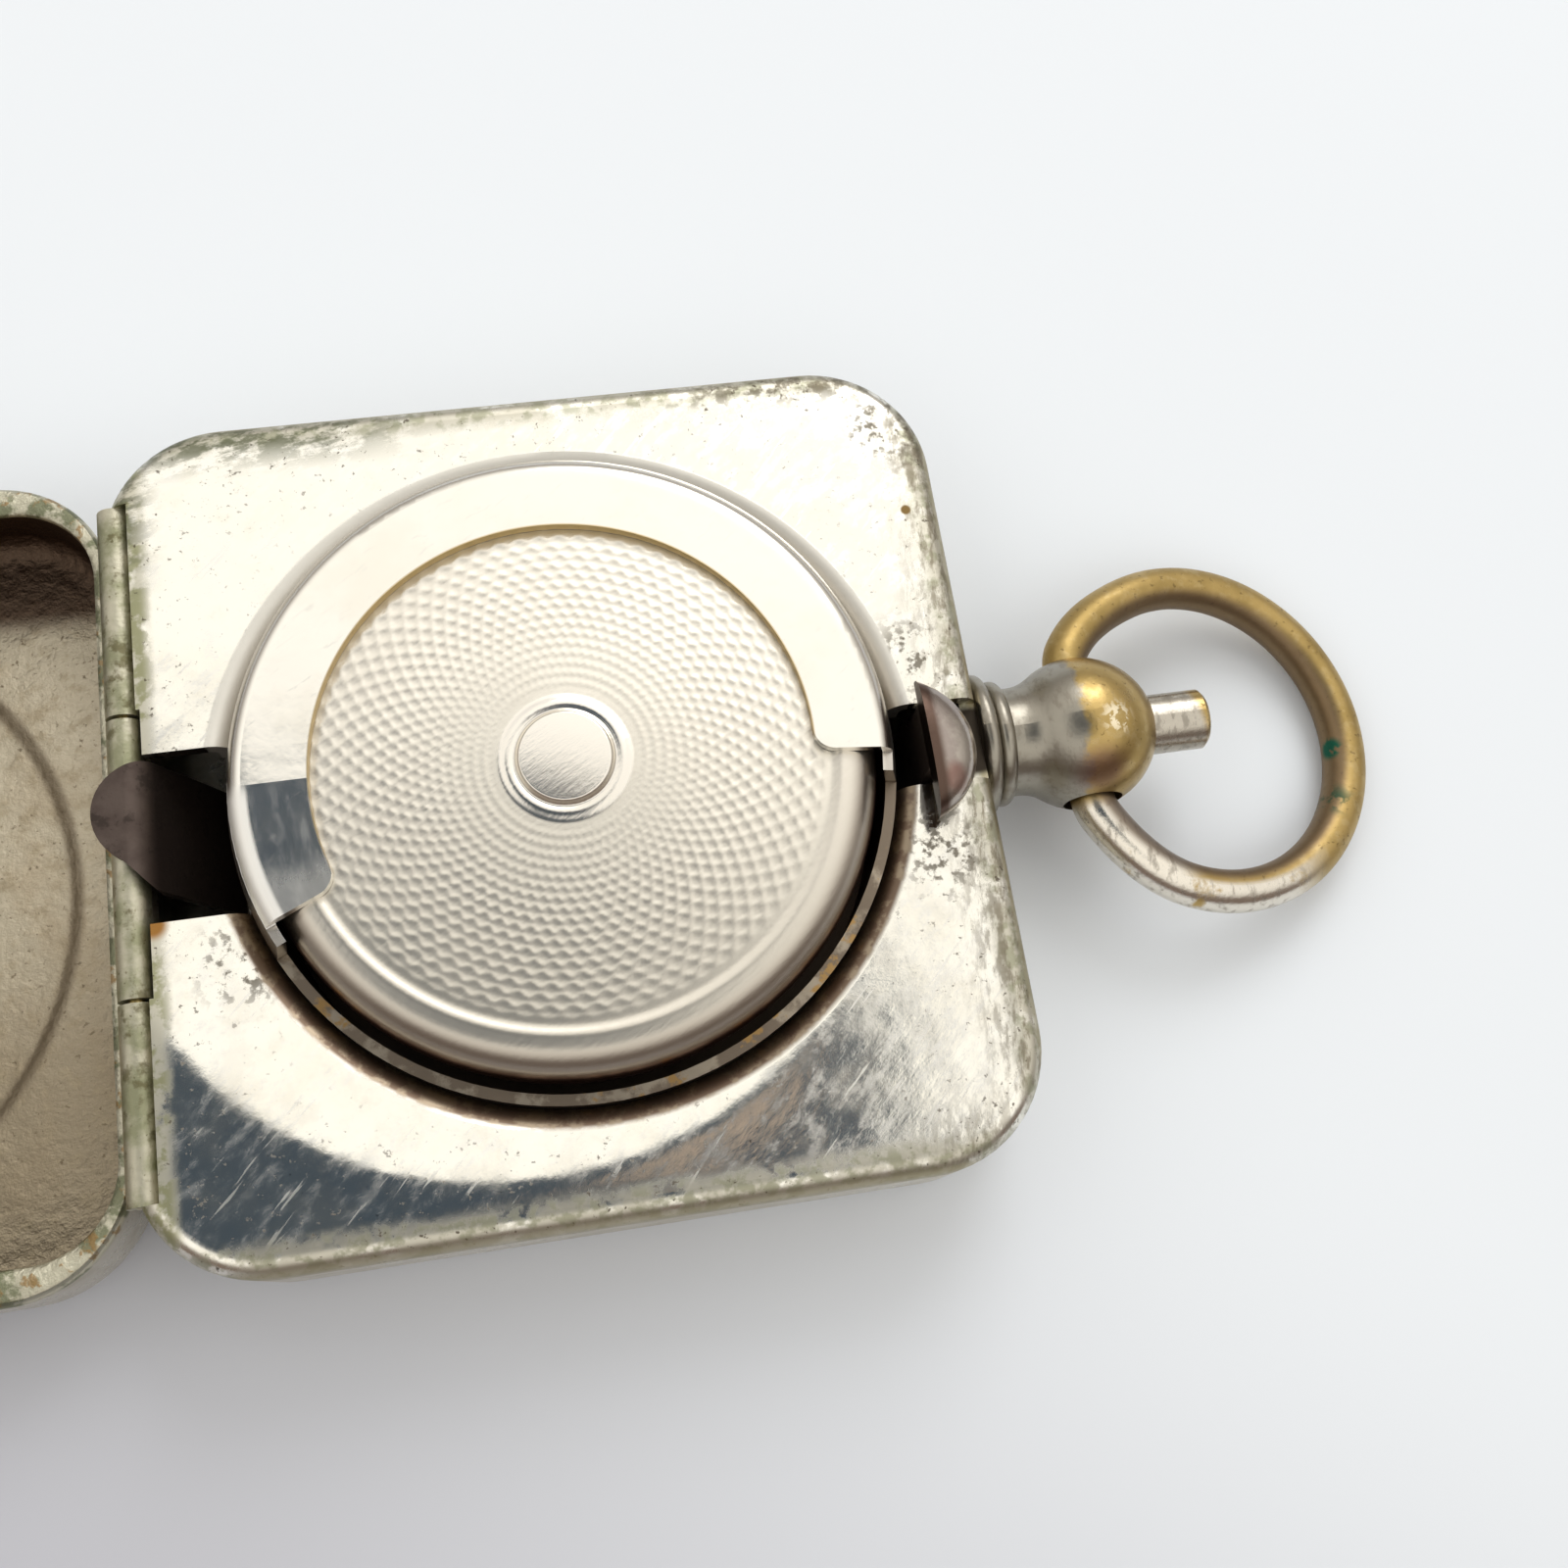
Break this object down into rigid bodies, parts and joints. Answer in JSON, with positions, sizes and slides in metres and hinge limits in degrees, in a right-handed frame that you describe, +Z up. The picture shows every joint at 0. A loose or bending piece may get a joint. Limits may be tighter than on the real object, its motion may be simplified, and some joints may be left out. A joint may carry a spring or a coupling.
{
  "type": "sovereign case",
  "caption": "Pocket coin case with a hinged lid, a sprung coin platform under a C-shaped lip, a push-pin catch and a ring bow for a watch chain.",
  "frame": {"origin": "middle of the underside of the base, on the surface that it rests on", "axes": "+X to the pendant and bow, +Y along the hinge, +Z up out of the open face; the lid lies opened flat towards -X"},
  "size_m": [0.0808, 0.032, 0.0089],
  "materials": {
    "nickel_case": "worn nickel plate on brass, soft polish with dark specks and brass showing along the edges",
    "nickel_plate": "polished nickel plate, scratched and pitted towards the corners",
    "nickel_cup": "satin to bright nickel plate, brass at the cut edges",
    "nickel_platform": "satin nickel plate with an engine-turned face",
    "nickel_lid": "dull tarnished nickel plate, brushed and pitted inside",
    "nickel_hinge": "mottled nickel plate with green tarnish",
    "nickel_pendant": "rubbed nickel plate, brass showing on the ball",
    "nickel_pin": "rubbed nickel plate with a brassy end",
    "polished_steel": "polished steel",
    "blued_steel": "dark brown blued spring steel",
    "spring_wire": "drawn steel wire",
    "worn_brass": "aged olive brass with nickel left on one leg",
    "brass_pin": "turned brass"
  },
  "bodies": {
    "base": {"base_shell": "nickel_case", "top_plate": "nickel_plate", "coin_cup": "nickel_cup", "hinge_knuckle_back": "nickel_hinge", "hinge_knuckle_front": "nickel_hinge", "hinge_pin": "brass_pin", "fly_spring_foot": "blued_steel", "fly_spring_rivets": "brass_pin", "lock_rivet": "brass_pin", "pendant": "nickel_pendant", "pendant_collar": "nickel_pendant", "platform_spring": "spring_wire"},
    "lid": {"lid_shell": "nickel_lid", "lid_knuckle": "nickel_hinge", "lid_catch_plate": "nickel_lid"},
    "platform": {"coin_platform": "nickel_platform"},
    "fly_spring": {"fly_spring": "blued_steel"},
    "push_pin": {"push_pin": "nickel_pin", "push_pin_stop": "brass_pin"},
    "catch": {"lock_spring": "blued_steel", "catch_nose": "polished_steel"},
    "bow": {"bow": "worn_brass"}
  },
  "joints": [
    {"name": "lid_hinge", "type": "hinge", "parent": "base", "child": "lid", "pos_m": [-0.0156, 0, 0.0059], "axis": [0, 1, 0], "range_deg": [0, 180]},
    {"name": "fly_spring_flex", "type": "hinge", "parent": "base", "child": "fly_spring", "pos_m": [-0.0128, 0.0003, 0.001], "axis": [0, 1, 0], "range_deg": [0, 21]},
    {"name": "platform_slide", "type": "slide", "parent": "base", "child": "platform", "axis": [0, 0, -1], "range_m": [0, 0.0031], "stiffness_N_per_m": 400, "springref_m": -0.002, "deforming": ["platform_spring"]},
    {"name": "push_pin_slide", "type": "slide", "parent": "base", "child": "push_pin", "axis": [-1, 0, 0], "range_m": [0, 0.0008], "stiffness_N_per_m": 900, "springref_m": -0.0006},
    {"name": "catch_flex", "type": "hinge", "parent": "base", "child": "catch", "pos_m": [0.0124, -0.012, 0.001], "axis": [0, 0, 1], "range_deg": [0, 3.76]},
    {"name": "bow_swing", "type": "hinge", "parent": "base", "child": "bow", "pos_m": [0.02053, 0.0002, 0.0038], "axis": [0, -1, 0], "range_deg": [-120, 122]}
  ],
  "couplings": [
    {"joint": "fly_spring_flex", "follows": "lid_hinge", "ratio": 0.11655},
    {"joint": "catch_flex", "follows": "push_pin_slide", "rad_per_m": 81.948}
  ]
}
